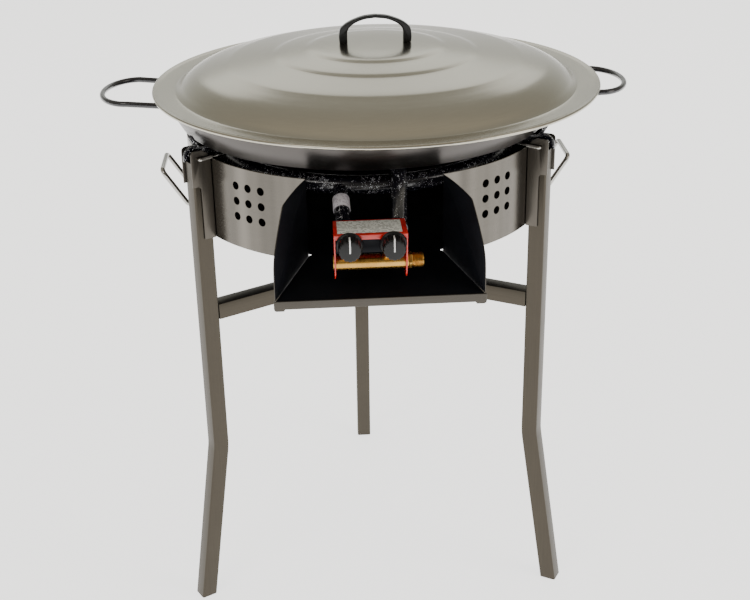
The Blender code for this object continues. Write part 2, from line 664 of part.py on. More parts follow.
# ---- pan and lid ----------------------------------------------------------------------
def make_pan():
    base = 0.2705
    t = PAN_SHEET
    low = PAN_BOTTOM_Z
    rim = (PAN_RIM_RADIUS, PAN_RIM_Z)
    profile = [(0.0, low + t), (base - 0.001, low + t), (base + 0.0035, low + t + 0.0018),
               (base + 0.0062, low + t + 0.0055), (rim[0] - 0.0022, rim[1] - 0.003),
               (rim[0] - 0.0008, rim[1]), (rim[0] + 0.0012, rim[1] + 0.0010),
               (rim[0] + 0.0034, rim[1] + 0.0004), (rim[0] + 0.0038, rim[1] - 0.0018),
               (rim[0] + 0.0022, rim[1] - 0.0032), (rim[0], rim[1] - 0.0048),
               (base + 0.0086, low + 0.0062), (base + 0.0058, low + 0.0022), (base, low),
               (0.0, low)]
    add_object("pan_body", turned_mesh(profile, ROUND_STEPS), POLISHED)
    half = 0.069
    wall_x = 0.280
    foot = (base + 0.0086, low + 0.0062)
    wall_slope = (rim[0] - foot[0]) / (rim[1] - 0.0048 - foot[1])
    cone_height = 0.0553
    cone_foot = foot[0] + 2 * GAP
    cone_top = cone_foot + wall_slope * cone_height
    wall_cone = turned_mesh([(0.0, foot[1] + cone_height), (cone_top, foot[1] + cone_height),
                             (cone_foot, foot[1]), (0.0, foot[1])], ROUND_STEPS)
    wall_z = 0.7925
    bow_x = 0.3480
    bow = arc_points((0.0, 0.0), 1.0, 90, -90, 18)
    path = [(wall_x, half - 0.002, wall_z), (0.300, half - 0.001, wall_z + 0.0008),
            *[(bow_x + (0.3935 - bow_x) * out, half * across, 0.7975) for out, across in bow],
            (0.300, 0.001 - half, wall_z + 0.0008), (wall_x, 0.002 - half, wall_z)]
    for side, turn in (("left", 180.0), ("right", 0.0)):
        handle = add_object(f"pan_handle_{side}", wire_mesh(path, 0.0044), ENAMEL,
                            turn_z=turn + PAN_TURN_DEG)
        boolean(handle, as_cutter(wall_cone))


def lid_outer_profile():
    """Upper side of the lid from the middle to the flange: three pressed steps, steep shoulder."""
    return [(0.0, 0.8640), (0.050, 0.8633), (0.080, 0.8619), (0.0940, 0.8606), (0.1010, 0.8589),
            (0.1080, 0.8573), (0.126, 0.8553), (0.1430, 0.8531), (0.1500, 0.8513),
            (0.1570, 0.8496), (0.180, 0.8469), (0.205, 0.8438), (0.2180, 0.8419),
            (0.2250, 0.8400), (0.2320, 0.8382), (0.244, 0.8354), (0.258, 0.8315), (0.270, 0.8269),
            (0.280, 0.8217), (0.2885, 0.8156), (0.2945, 0.8100), (0.3000, 0.8066),
            (0.3050, 0.8058)]


def make_lid():
    outer = lid_outer_profile()
    bead = arc_points((LID_RIM_RADIUS - 0.0026, LID_FLANGE_Z - 0.0002), 0.0026, 105, -165, 7)
    inner = [(max(r - 0.0008, 0.0), z - LID_SHEET) for r, z in reversed(outer[::2])]
    profile = [*outer, (0.330, LID_FLANGE_Z + 0.0008), *bead,
               (0.330, LID_FLANGE_Z + 0.0008 - LID_SHEET), *inner]
    middle = (LID_SHIFT_X, 0, 0)
    lid = add_object("lid_shell", turned_mesh(profile, ROUND_STEPS), POLISHED, middle)
    outer_line = [(-HANDLE_HALF, 0.8636), (-HANDLE_HALF - 0.0006, 0.8740),
                  (-HANDLE_HALF + 0.0010, 0.8850), (-0.0440, 0.8928), (-0.0320, 0.8988),
                  (-0.0170, 0.9038), (0.0, 0.9056)]
    inner_line = [(0.0, 0.9012), (-0.0160, 0.8993), (-0.0290, 0.8942), (-0.0375, 0.8880),
                  (-0.0412, 0.8820), (-0.0416, 0.8740), (-HANDLE_HALF + 0.0120, 0.8636)]
    right_outer = [(-x, z) for x, z in reversed(outer_line[:-1])]
    right_inner = [(-x, z) for x, z in reversed(inner_line[1:])]
    handle = add_object("lid_handle", plate_mesh([*outer_line, *right_outer, *right_inner,
                                                  *inner_line], 0.012), BLACK_PLASTIC, middle)
    bevel = handle.modifiers.new("edges", "BEVEL")
    bevel.width = 0.0014
    bevel.segments = 2
    bevel.limit_method = "ANGLE"
    bevel.angle_limit = math.radians(60)
    for side, sign in (("left", -1.0), ("right", 1.0)):
        x = sign * (HANDLE_HALF - 0.0062)
        hole = rod_mesh(0.0025 + GAP, 0.0240, (x, 0, 0.8520), (0, 0, 1), 16)
        boolean(lid, as_cutter(hole, middle))
        boolean(handle, as_cutter(hole.copy(), middle))
        head = [(0.0, 0.8752), (0.0025, 0.8752), (0.0025, 0.8602), (0.0048, 0.8602),
                (0.0048, 0.8586), (0.0036, 0.8574), (0.0, 0.8574)]
        screw = turned_mesh(head, 16)
        add_object(f"handle_screw_{side}", screw, CHROME, (LID_SHIFT_X + x, 0, 0))


# ---- assembly -------------------------------------------------------------------------
def make_set():
    make_legs()
    make_sockets()
    make_pins()
    make_braces()
    make_shield()
    make_shield_floor()
    make_tray()
    make_side_handles()
    make_burner()
    make_bracket()
    make_manifold()
    for side, x in VALVE_X.items():
        make_valve(side, x)
    make_pan()
    make_lid()


make_set()
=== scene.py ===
"""Looks of the paella gas cooking set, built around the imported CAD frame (metres, +Z up)."""
import math
import bmesh
import bpy
from mathutils import Matrix, Vector


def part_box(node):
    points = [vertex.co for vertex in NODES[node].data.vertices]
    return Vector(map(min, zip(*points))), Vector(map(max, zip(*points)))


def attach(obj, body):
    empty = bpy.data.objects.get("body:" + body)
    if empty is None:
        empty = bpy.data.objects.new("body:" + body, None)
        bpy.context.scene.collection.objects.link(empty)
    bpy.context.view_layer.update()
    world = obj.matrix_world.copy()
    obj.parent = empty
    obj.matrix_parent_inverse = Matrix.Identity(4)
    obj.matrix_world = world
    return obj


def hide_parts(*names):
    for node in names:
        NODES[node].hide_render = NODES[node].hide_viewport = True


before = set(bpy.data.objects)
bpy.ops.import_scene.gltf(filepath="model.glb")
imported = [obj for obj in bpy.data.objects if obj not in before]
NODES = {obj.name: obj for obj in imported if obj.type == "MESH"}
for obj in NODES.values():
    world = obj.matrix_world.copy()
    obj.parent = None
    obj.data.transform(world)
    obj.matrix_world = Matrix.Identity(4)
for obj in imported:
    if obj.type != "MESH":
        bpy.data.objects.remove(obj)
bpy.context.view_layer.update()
SIDES = ("left", "right", "rear")
LEG_AZIMUTH = {"left": 210.0, "right": 330.0, "rear": 90.0}


def centre_of(node):
    low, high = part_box(node)
    return (low + high) / 2


AXIS = Vector((0.0, centre_of("pan_body").y, 0.0))      # foot of the pan's vertical axis
LID_AXIS = AXIS + Vector((centre_of("lid_shell").x, 0.0, 0.0))
KNOB_AT = {side: centre_of(f"valve_spindle_{side}") for side in ("left", "right")}
MANIFOLD = centre_of("gas_manifold")

# ---- sizes shared with the CAD design --------------------------------------------------
LEG_HALF = 0.0125
LEG_WALL = 0.0015
LEG_CORNER = 0.0028
LEG_RADIUS = 0.2865
KNEE_Z = 0.268
FOOT_RADIUS = 0.3285
LEG_TOP_Z = 0.735
SHIELD_RADIUS = 0.271
SHIELD_SHEET = 0.0015
OPENING_HALF = 0.0945
VENT_AZIMUTH = (229.8, 310.2)
VENT_STEP_DEG = 4.85
VENT_Z = (0.6675, 0.6903, 0.7130)
PIN_RADIUS_AT = 0.290
PIN_Z = 0.742
SOCKET_WIDTH = 0.031
RING_TUBE = 0.0135
OUTER_RING = 0.215
INNER_RING = 0.115
RING_Z = 0.7155
PAN_TURN_DEG = -1.8
LID_RIM_RADIUS = 0.3355
LID_FLANGE_Z = 0.8060
HANDLE_HALF = 0.0535
TRAY_FRONT_Y = -0.350
TRAY_FRONT_HALF = 0.142
MIX_TUBE = 0.0110
MIX_WALL = 0.0015
BAIL_ROD = 0.0037
PIN_ROD = 0.0025
PAN_HANDLE_ROD = 0.0043
PAN_HANDLE_HALF = 0.069
PAN_HANDLE_REACH = 0.3935
PAN_RIM_RADIUS = 0.300
PAN_RIM_Z = 0.8030
PAN_BOTTOM_Z = 0.755
PAN_SHEET = 0.002
LID_SHEET = 0.0015
TRAY_SHEET = 0.0015
VENT_RADIUS = 0.006


# ---- materials ------------------------------------------------------------------------
class Paint:
    """One Principled material and short calls that add nodes to it."""

    def __init__(self, name, colour, metallic, roughness, **sockets):
        self.mat = bpy.data.materials.new(name)
        self.mat.use_nodes = True
        self.tree = self.mat.node_tree
        self.shader = self.tree.nodes["Principled BSDF"]
        self.set("Base Color", (*colour, 1.0))
        self.set("Metallic", metallic)
        self.set("Roughness", roughness)
        for socket, value in sockets.items():
            self.set(socket.replace("_", " "), value)

    def set(self, socket, value):
        self.shader.inputs[socket].default_value = value

    def node(self, kind, values=(), **props):
        made = self.tree.nodes.new("ShaderNode" + kind)
        for key, value in props.items():
            setattr(made, key, value)
        for socket, value in dict(values).items():
            if isinstance(value, bpy.types.NodeSocket):
                self.tree.links.new(value, made.inputs[socket])
            else:
                made.inputs[socket].default_value = value
        return made

    def math(self, operation, a, b=0.0):
        return self.node("Math", {0: a, 1: b}, operation=operation).outputs[0]

    def place(self):
        """Position in metres in the row frame, measured from the pan axis."""
        coords = self.node("TexCoord").outputs["Object"]
        return self.node("VectorMath", {0: coords, 1: AXIS}, operation="SUBTRACT").outputs[0]

    def stretched(self, scale, turn=0.0):
        turned = self.node("Mapping", {"Vector": self.place(), "Rotation": (0, 0, -turn)})
        return self.node("Mapping", {"Vector": turned.outputs[0], "Scale": scale}).outputs[0]

    def polar(self, radial, around, up):
        """Radius, angle and height, each times its own scale: grain that runs round the axis."""
        parts = self.node("SeparateXYZ", {0: self.place()})
        x, y, z = parts.outputs
        radius = self.math("SQRT", self.math("ADD", self.math("MULTIPLY", x, x),
                                             self.math("MULTIPLY", y, y)))
        angle = self.math("ARCTAN2", x, self.math("MULTIPLY", y, -1.0))
        return self.node("CombineXYZ", {0: self.math("MULTIPLY", radius, radial),
                                        1: self.math("MULTIPLY", angle, around),
                                        2: self.math("MULTIPLY", z, up)}).outputs[0]

    def noise(self, vector, scale=1.0, detail=3.0, roughness=0.6):
        values = {"Vector": vector, "Scale": scale, "Detail": detail, "Roughness": roughness}
        return self.node("TexNoise", values).outputs[0]

    def remap(self, value, low, high, to_low, to_high):
        values = {"Value": value, "From Min": low, "From Max": high, "To Min": to_low,
                  "To Max": to_high}
        return self.node("MapRange", values).outputs[0]

    def mix(self, factor, colour_a, colour_b):
        values = {"Factor": factor}
        made = self.node("Mix", values, data_type="RGBA")
        for socket, colour in ((6, colour_a), (7, colour_b)):
            if isinstance(colour, bpy.types.NodeSocket):
                self.tree.links.new(colour, made.inputs[socket])
            else:
                made.inputs[socket].default_value = (*colour, 1.0)
        return made.outputs[2]

    def colour(self, output):
        self.tree.links.new(output, self.shader.inputs["Base Color"])
        return self

    def rough(self, output):
        self.tree.links.new(output, self.shader.inputs["Roughness"])
        return self

    def bump(self, height, distance, strength=1.0):
        values = {"Height": height, "Distance": distance, "Strength": strength}
        normal = self.node("Bump", values).outputs[0]
        self.tree.links.new(normal, self.shader.inputs["Normal"])
        return self


def grained(name, tint, vector_of, rough, depth, contrast=0.10, smudge=18.0, painted_reflection_bands=0.0):
    """Brushed metal: fine grain along one direction, plus broad smudges, or upright light and dark bands
    that are painted reflection.
    """
    paint = Paint(name, tint, 1.0, rough)
    grain = paint.noise(vector_of(paint), 1.0, 4.0, 0.7)
    broad = paint.noise(paint.place(), smudge, 3.0, 0.55)
    fine_share = 0.65
    # Upright bands round the axis are painted reflection: light and dark stripes set into the base
    # colour.
    if painted_reflection_bands:
        broad = paint.noise(paint.polar(0.0, painted_reflection_bands, 0.0), 1.0, 2.0, 0.5)
        fine_share = 0.10
    tone = paint.math("ADD", paint.math("MULTIPLY", grain, fine_share),
                      paint.math("MULTIPLY", broad, 1.0 - fine_share))
    dark = tuple(c * (1 - contrast) for c in tint)
    light = tuple(min(1.0, c * (1 + contrast)) for c in tint)
    paint.colour(paint.mix(paint.remap(tone, 0.35, 0.65, 0.0, 1.0), dark, light))
    paint.rough(paint.remap(tone, 0.3, 0.7, rough * 0.82, rough * 1.18))
    paint.bump(grain, depth)
    return paint.mat


def brushed_along(name, tint, scale, turn=0.0, rough=0.34, depth=0.00002):
    return grained(name, tint, lambda p: p.stretched(scale, turn), rough, depth)


# Stainless tints are set part by part. Legs, braces, sockets, lip, cheeks, shield and pan are far darker
# than bare stainless: painted shade, one shaded copy of the steel per part.
STEEL = (0.135, 0.125, 0.110)
LEG_STEEL = (0.066, 0.058, 0.046)
BRUSHED_UP = brushed_along("stainless_brushed_upright", LEG_STEEL, (900, 900, 9), rough=0.38)
SOCKET_STEEL = brushed_along("stainless_brushed_socket", (0.095, 0.086, 0.074), (700, 700, 7), rough=0.36)
BRUSHED_WIDE = brushed_along("stainless_brushed_wide", (0.070, 0.064, 0.056), (8, 900, 900), rough=0.28)
BRACE_STEEL = {side: brushed_along(f"stainless_brushed_brace_{side}", LEG_STEEL, (8, 900, 900),
                                   math.radians(azimuth), 0.38)
               for side, azimuth in LEG_AZIMUTH.items()}
# The shield's upright light and dark bands are painted reflections in its colour.
SHIELD_STEEL = grained("stainless_shield_painted_bands", STEEL, lambda p: p.polar(60, 5, 1500), 0.27, 0.00003,
                       0.42, painted_reflection_bands=4.5)
LID_STEEL = grained("stainless_lid", (0.47, 0.445, 0.375), lambda p: p.polar(900, 9, 40), 0.21, 0.000002,
                    0.035, 7.0)
PAN_STEEL = grained("stainless_pan", (0.095, 0.088, 0.084), lambda p: p.polar(300, 6, 900), 0.33,
                    0.00001, 0.06)
CHROME = grained("bright_wire", (0.40, 0.39, 0.37), lambda p: p.place(), 0.16, 0.000002, 0.08, 60.0)


def make_enamel(name, speck_scale, amount):
    """Black vitreous enamel, gloss, slightly wavy, with small white specks."""
    paint = Paint(name, (0.006, 0.006, 0.009), 0.0, 0.16, Coat_Weight=0.6, Coat_Roughness=0.08)
    place = paint.place()
    cells = paint.node("TexVoronoi", {"Vector": place, "Scale": speck_scale, "Randomness": 1.0})
    size = paint.noise(place, speck_scale * 0.31, 2.0)
    patch = paint.noise(place, 42.0, 3.0, 0.6)
    limit = paint.math("MULTIPLY", paint.remap(size, 0.36, 0.66, 0.0, 0.46),
                       paint.remap(patch, 0.34, 0.60, 0.35 * amount, amount))
    speck = paint.math("LESS_THAN", cells.outputs["Distance"], limit)
    paint.colour(paint.mix(speck, (0.006, 0.006, 0.010), (0.62, 0.63, 0.66)))
    wave = paint.noise(place, 160.0, 3.0)
    paint.bump(wave, 0.0012, 0.55)
    paint.rough(paint.remap(wave, 0.3, 0.7, 0.12, 0.24))
    return paint.mat


ENAMEL = make_enamel("enamel_speckled", 500.0, 1.08)
ENAMEL_PLAIN = make_enamel("enamel_handles", 430.0, 0.10)


def make_satin(name, colour, rough, scale, depth, **sockets):
    """Painted or moulded surface: fine grain in bump, slight tone and gloss variation."""
    paint = Paint(name, colour, 0.0, rough, **sockets)
    fine = paint.noise(paint.place(), scale, 3.0)
    broad = paint.noise(paint.place(), 30.0, 4.0)
    paint.colour(paint.mix(paint.remap(broad, 0.35, 0.65, 0.0, 1.0), tuple(c * 0.82 for c in colour),
                           tuple(min(1.0, c * 1.18) for c in colour)))
    paint.rough(paint.remap(broad, 0.3, 0.7, rough * 0.85, min(1.0, rough * 1.2)))
    paint.bump(fine, depth)
    return paint.mat


# Matte black sheet: the real black valve plate, and painted shade on the tray and shield interiors.
BLACK_SHEET_AND_PAINTED_SHADE = make_satin("black_sheet", (0.0034, 0.0040, 0.0062), 0.55, 900.0, 0.00004,
                         Specular_IOR_Level=0.12)
BLACK_PLASTIC = make_satin("black_plastic", (0.005, 0.0052, 0.0056), 0.30, 1400.0, 0.00004,
                           Specular_IOR_Level=0.30)
HANDLE_PLASTIC = make_satin("handle_plastic", (0.007, 0.0075, 0.007), 0.24, 1200.0, 0.00003,
                            Specular_IOR_Level=0.35)
RED_PAINT = make_satin("red_paint", (0.60, 0.018, 0.010), 0.25, 500.0, 0.00005, Coat_Weight=0.5)
WHITE_MARK = make_satin("white_mark", (0.80, 0.80, 0.80), 0.45, 1200.0, 0.00002)


def make_brass(name, tint, rough):
    paint = Paint(name, tint, 1.0, rough)
    rings = paint.noise(paint.stretched((1600, 30, 30)), 1.0, 3.0)
    stain = paint.noise(paint.place(), 60.0, 3.0)
    paint.colour(paint.mix(paint.remap(stain, 0.38, 0.66, 0.0, 1.0), tint,
                           (tint[0] * 0.86, tint[1] * 0.80, tint[2] * 0.72)))
    paint.rough(paint.remap(rings, 0.3, 0.7, rough * 0.9, rough * 1.15))
    paint.bump(rings, 0.000006)
    return paint.mat


BRASS = make_brass("brass_machined", (0.56, 0.33, 0.085), 0.28)


def make_print(name, paper, ink, across, rows):
    """Sticker with plain grey bars in rows; the bars spell nothing."""
    paint = Paint(name, paper, 0.0, 0.42)
    parts = paint.node("SeparateXYZ", {0: paint.place()})
    x, y, _ = parts.outputs
    down = paint.math("MULTIPLY", y, rows)
    row = paint.math("FLOOR", down)
    within = paint.math("FRACT", down)
    spot = paint.node("CombineXYZ", {0: paint.math("MULTIPLY", x, across),
                                     1: paint.math("MULTIPLY", row, 7.31), 2: 0.0}).outputs[0]
    words = paint.noise(spot, 1.0, 2.0, 0.4)
    bars = paint.math("MULTIPLY", paint.math("GREATER_THAN", words, 0.50),
                      paint.math("LESS_THAN", within, 0.55))
    grime = paint.noise(paint.place(), 120.0, 4.0)
    tone = paint.mix(paint.remap(grime, 0.3, 0.7, 0.0, 1.0), tuple(c * 0.85 for c in paper), paper)
    paint.colour(paint.mix(paint.math("MULTIPLY", bars, 0.60), tone, ink))
    paint.bump(grime, 0.0001, 0.4)
    return paint.mat


LABEL = make_print("label_foil", (0.82, 0.84, 0.80), (0.05, 0.055, 0.055), 210.0, 260.0)
PAPER = make_print("label_paper", (0.88, 0.84, 0.90), (0.34, 0.28, 0.36), 260.0, 330.0)


# ---- shape helpers --------------------------------------------------------------------
def finish_piece(name, mesh, material, body, slot, *nodes):
    """Add a mesh to the scene as a piece that stands for CAD nodes and rides on their body."""
    piece = bpy.data.objects.new(name, mesh)
    bpy.context.scene.collection.objects.link(piece)
    mesh.materials.clear()
    mesh.materials.append(material)
    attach(piece, body)
    if nodes:
        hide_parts(*nodes)
    return piece


def smooth(mesh, angle=40.0):
    mesh.shade_smooth()
    mesh.set_sharp_from_angle(angle=math.radians(angle))
    return mesh


def from_bmesh(bm, name):
    bmesh.ops.recalc_face_normals(bm, faces=bm.faces)
    mesh = bpy.data.meshes.new(name)
    bm.to_mesh(mesh)
    bm.free()
    return mesh


def spline_through(points, per=6):
    """Catmull-Rom curve through 2D points."""
    points = [Vector(p) for p in points]
    ends = [2 * points[0] - points[1], *points, 2 * points[-1] - points[-2]]
    curve = []
    for p0, p1, p2, p3 in zip(ends, ends[1:], ends[2:], ends[3:]):
        for i in range(per):
            t = i / per
            curve.append(0.5 * (2 * p1 + (p2 - p0) * t + (2 * p0 - 5 * p1 + 4 * p2 - p3) * t ** 2
                                + (3 * p1 - p0 - 3 * p2 + p3) * t ** 3))
    return [*curve, points[-1]]


def turned(name, profile, steps=256, ring=False, about=AXIS):
    """Turn (radius, z) points about the vertical axis through a point."""
    bm = bmesh.new()
    columns = []
    for i in range(steps):
        angle = 2 * math.pi * i / steps
        column = []
        for j, (r, z) in enumerate(profile):
            if r < 1e-6 and i > 0:
                column.append(columns[0][j])
            else:
                column.append(bm.verts.new((about.x + r * math.cos(angle),
                                            about.y + r * math.sin(angle), about.z + z)))
        columns.append(column)
    rows = range(len(profile) if ring else len(profile) - 1)
    for i, column in enumerate(columns):
        beside = columns[(i + 1) % steps]
        for j in rows:
            k = (j + 1) % len(profile)
            corners = list(dict.fromkeys([column[j], column[k], beside[k], beside[j]]))
            if len(corners) > 2:
                bm.faces.new(corners)
    return smooth(from_bmesh(bm, name))


def arc(centre, radius, start_deg, end_deg, steps):
    angles = [math.radians(start_deg + (end_deg - start_deg) * i / steps) for i in range(steps + 1)]
    return [(centre[0] + radius * math.cos(a), centre[1] + radius * math.sin(a)) for a in angles]


def rounded_path(points, radius, steps=10):
    """Replace each inner corner of a polyline by a smooth bend."""
    points = [Vector(p) for p in points]
    path = [points[0]]
    for before, corner, after in zip(points, points[1:], points[2:]):
        back = (before - corner).normalized()
        ahead = (after - corner).normalized()
        half_turn = (math.pi - back.angle(ahead)) / 2
        reach = min(radius * math.tan(half_turn), (before - corner).length * 0.48,
                    (after - corner).length * 0.48)
        start = corner + back * reach
        end = corner + ahead * reach
        for i in range(steps + 1):
            t = i / steps
            path.append(start * (1 - t) ** 2 + corner * 2 * t * (1 - t) + end * t ** 2)
    path.append(points[-1])
    return path


def evaluated(obj):
    graph = bpy.context.evaluated_depsgraph_get()
    mesh = bpy.data.meshes.new_from_object(obj.evaluated_get(graph))
    bpy.data.objects.remove(obj, do_unlink=True)
    return mesh


def with_modifiers(mesh, *settings):
    """Apply modifiers, given as (type, {property: value}), to a mesh."""
    obj = bpy.data.objects.new("work", mesh)
    bpy.context.scene.collection.objects.link(obj)
    for kind, values in settings:
        modifier = obj.modifiers.new(kind.lower(), kind)
        for key, value in values.items():
            setattr(modifier, key, value)
    return evaluated(obj)


def bevel(width, segments=3, angle=30.0):
    return ("BEVEL", {"width": width, "segments": segments, "limit_method": "ANGLE",
                      "angle_limit": math.radians(angle), "harden_normals": False})


def wire(points, radius, resolution=6):
    """Round rod along a path, with rounded ends."""
    curve = bpy.data.curves.new("wire", "CURVE")
    curve.dimensions = "3D"
    curve.bevel_depth = radius
    curve.bevel_resolution = resolution
    curve.use_fill_caps = True
    spline = curve.splines.new("POLY")
    spline.points.add(len(points) - 1)
    for point, co in zip(spline.points, points):
        point.co = (*co, 1.0)
    obj = bpy.data.objects.new("wire", curve)
    bpy.context.scene.collection.objects.link(obj)
    bm = bmesh.new()
    bm.from_mesh(evaluated(obj))
    bmesh.ops.remove_doubles(bm, verts=bm.verts, dist=0.00001)
    rod = with_modifiers(from_bmesh(bm, "rod"), bevel(radius * 0.3, 3, 60.0))
    return smooth(rod, 60.0)


def swung(mesh, azimuth=0.0, offset=(0.0, 0.0, 0.0)):
    """Turn a mesh built along +X about the pan axis."""
    turn = Matrix.Rotation(math.radians(azimuth), 4, "Z")
    mesh.transform(Matrix.Translation(AXIS) @ turn @ Matrix.Translation(offset))
    return mesh


def rod(radius, length, sides=48, edge=0.0005, top_radius=None):
    """Cylinder or cone from the origin along +Z with softened rims."""
    bm = bmesh.new()
    bmesh.ops.create_cone(bm, cap_ends=True, segments=sides, radius1=radius,
                          radius2=radius if top_radius is None else top_radius, depth=length)
    bmesh.ops.translate(bm, vec=(0, 0, length / 2), verts=bm.verts)
    return smooth(with_modifiers(from_bmesh(bm, "rod"), bevel(edge, 3, 45.0)))


def pointed(mesh, start, direction):
    """Move a mesh made along +Z so that it starts at a point and runs in a direction."""
    turn = Vector((0, 0, 1)).rotation_difference(Vector(direction).normalized())
    mesh.transform(Matrix.Translation(start) @ turn.to_matrix().to_4x4())
    return mesh


def plate(outline, thickness, edge=0.0003, segments=2):
    """Flat outline in X and Z, extruded along Y about Y = 0, with softened edges."""
    bm = bmesh.new()
    ring = [bm.verts.new((x, -thickness / 2, z)) for x, z in outline]
    face = bm.faces.new(ring)
    made = bmesh.ops.extrude_face_region(bm, geom=[face])
    moved = [v for v in made["geom"] if isinstance(v, bmesh.types.BMVert)]
    bmesh.ops.translate(bm, vec=(0, thickness, 0), verts=moved)
    return smooth(with_modifiers(from_bmesh(bm, "plate"), bevel(edge, segments, 50.0)))


def cut(mesh, cutters):
    """Boolean difference with several closed meshes."""
    bm = bmesh.new()
    for cutter in cutters:
        bm.from_mesh(cutter)
    tool = bpy.data.objects.new("tool", from_bmesh(bm, "tool"))
    bpy.context.scene.collection.objects.link(tool)
    result = with_modifiers(mesh, ("BOOLEAN", {"operation": "DIFFERENCE", "object": tool}))
    bpy.data.objects.remove(tool, do_unlink=True)
    return smooth(result)


def softened(node, width, material, body, slot, segments=2, angle=30.0):
    """Copy of a CAD node with its sharp sheet or bar edges broken."""
    bm = bmesh.new()
    bm.from_mesh(NODES[node].data)
    bmesh.ops.remove_doubles(bm, verts=bm.verts, dist=0.00002)
    bmesh.ops.dissolve_limit(bm, angle_limit=math.radians(1.0), verts=bm.verts, edges=bm.edges)
    mesh = with_modifiers(from_bmesh(bm, node), bevel(width, segments, angle))
    return finish_piece(f"{node}_finished", smooth(mesh, 35.0), material, body, slot, node)


# ---- stand ----------------------------------------------------------------------------
def square_section(half, corner, steps=5):
    """Rounded square as (across, outward) pairs."""
    inner = half - corner
    points = []
    for sx, sy, start in ((1, 1, 0), (-1, 1, 90), (-1, -1, 180), (1, -1, 270)):
        points += arc((sx * inner, sy * inner), corner, start, start + 90, steps)
    return points


def leg_stations():
    """Centre radius, height and slope of the section plane down the bent leg."""
    splay = math.atan2(FOOT_RADIUS - LEG_RADIUS, KNEE_Z)
    stations = [(LEG_RADIUS, LEG_TOP_Z, 0.0, 1.0)]
    bend = 0.010
    for i in range(7):
        t = i / 6
        z = KNEE_Z + bend - 2 * bend * t
        drop = bend * t * t * math.tan(splay)
        stations.append((LEG_RADIUS + drop, z, math.tan(splay * t), 1.0))
    stations.append((FOOT_RADIUS, 0.0, 0.0, 1 / math.cos(splay)))
    return stations


def make_legs():
    for side in SIDES:
        bm = bmesh.new()
        walls = []
        for half, corner in ((LEG_HALF, LEG_CORNER), (LEG_HALF - LEG_WALL, LEG_CORNER - LEG_WALL)):
            rings = []
            for radius, z, slope, stretch in leg_stations():
                rings.append([bm.verts.new((radius + out * stretch, across, z + out * slope))
                              for across, out in square_section(half, corner)])
            for upper, lower in zip(rings, rings[1:]):
                for i in range(len(upper)):
                    j = (i + 1) % len(upper)
                    bm.faces.new((upper[i], upper[j], lower[j], lower[i]))
            walls.append(rings)
        outer, inner = walls
        for end in (0, -1):
            for i in range(len(outer[end])):
                j = (i + 1) % len(outer[end])
                bm.faces.new((outer[end][i], outer[end][j], inner[end][j], inner[end][i]))
        mesh = swung(smooth(from_bmesh(bm, f"leg_{side}_tube"), 50.0), LEG_AZIMUTH[side])
        finish_piece(f"leg_{side}_tube", mesh, BRUSHED_UP, "stand", "stainless", f"leg_{side}")
        softened(f"foot_plug_{side}", 0.0012, BLACK_PLASTIC, "stand", "black_plastic")
        softened(f"leg_socket_{side}", 0.0007, SOCKET_STEEL, "stand", "stainless", 3)
        softened(f"brace_{side}", 0.0006, BRACE_STEEL[side], "stand", "stainless")
    softened("brace_hub", 0.0012, BRUSHED_UP, "stand", "stainless")


def make_pins():
    reach = SOCKET_WIDTH / 2 + 0.0035
    hold_z = 0.7447
    for side in SIDES:
        near = -1.0 if side == "right" else 1.0
        path = rounded_path([(PIN_RADIUS_AT, -near * (SOCKET_WIDTH / 2 + 0.004), PIN_Z),
                             (PIN_RADIUS_AT, near * reach, PIN_Z),
                             (0.262, near * (reach + 0.0005), hold_z),
                             (0.237, near * (reach - 0.0035), hold_z)], 0.0035)
        finish_piece(f"retaining_pin_{side}_rod", swung(wire(path, PIN_ROD), LEG_AZIMUTH[side]), CHROME,
                     f"pin_{side}", "bright_wire", f"retaining_pin_{side}")


def make_shield():
    low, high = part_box("wind_shield")
    sheet = SHIELD_SHEET
    edge = sheet * 0.4
    inner = SHIELD_RADIUS - sheet
    middle_z = (low.z + high.z) / 2
    profile = [(SHIELD_RADIUS, high.z - edge), (SHIELD_RADIUS, middle_z), (SHIELD_RADIUS, low.z + edge),
               (SHIELD_RADIUS - edge, low.z), (inner + edge, low.z), (inner, low.z + edge),
               (inner, middle_z), (inner, high.z - edge), (inner + edge, high.z),
               (SHIELD_RADIUS - edge, high.z)]
    band = turned("band", profile, 288, ring=True)
    holes = []
    for block in VENT_AZIMUTH:
        for column in (-1, 0, 1):
            for z in VENT_Z:
                hole = rod(VENT_RADIUS, 0.04, 40, 0.0)
                angle = math.radians(block + column * VENT_STEP_DEG)
                away = Vector((math.cos(angle), math.sin(angle), 0.0))
                holes.append(pointed(hole, AXIS + away * 0.25 + Vector((0, 0, z)), away))
    opening = bmesh.new()
    bmesh.ops.create_cube(opening, size=1.0)
    bmesh.ops.scale(opening, vec=(2 * OPENING_HALF, 0.10, 0.30), verts=opening.verts)
    bmesh.ops.translate(opening, vec=AXIS + Vector((0, -SHIELD_RADIUS, 0.68)), verts=opening.verts)
    mesh = cut(band, [*holes, from_bmesh(opening, "opening")])
    finish_piece("wind_shield_band", mesh, SHIELD_STEEL, "stand", "stainless", "wind_shield")


def cheek_outline():
    """Distance out from the shield and height: level top, then the rounded nose."""
    front = [(0.0, 0.7405), (0.024, 0.7380), (0.048, 0.7332), (0.064, 0.7288), (0.0695, 0.7265),
             (0.0735, 0.7215), (0.0830, 0.7045), (0.0930, 0.6840), (0.0990, 0.6700),
             (0.1030, 0.6560), (0.1046, 0.6420), (0.1050, 0.6180), (0.1050, 0.6047)]
    return [(0.0, 0.6215), *[tuple(p) for p in spline_through(front, 5)]]


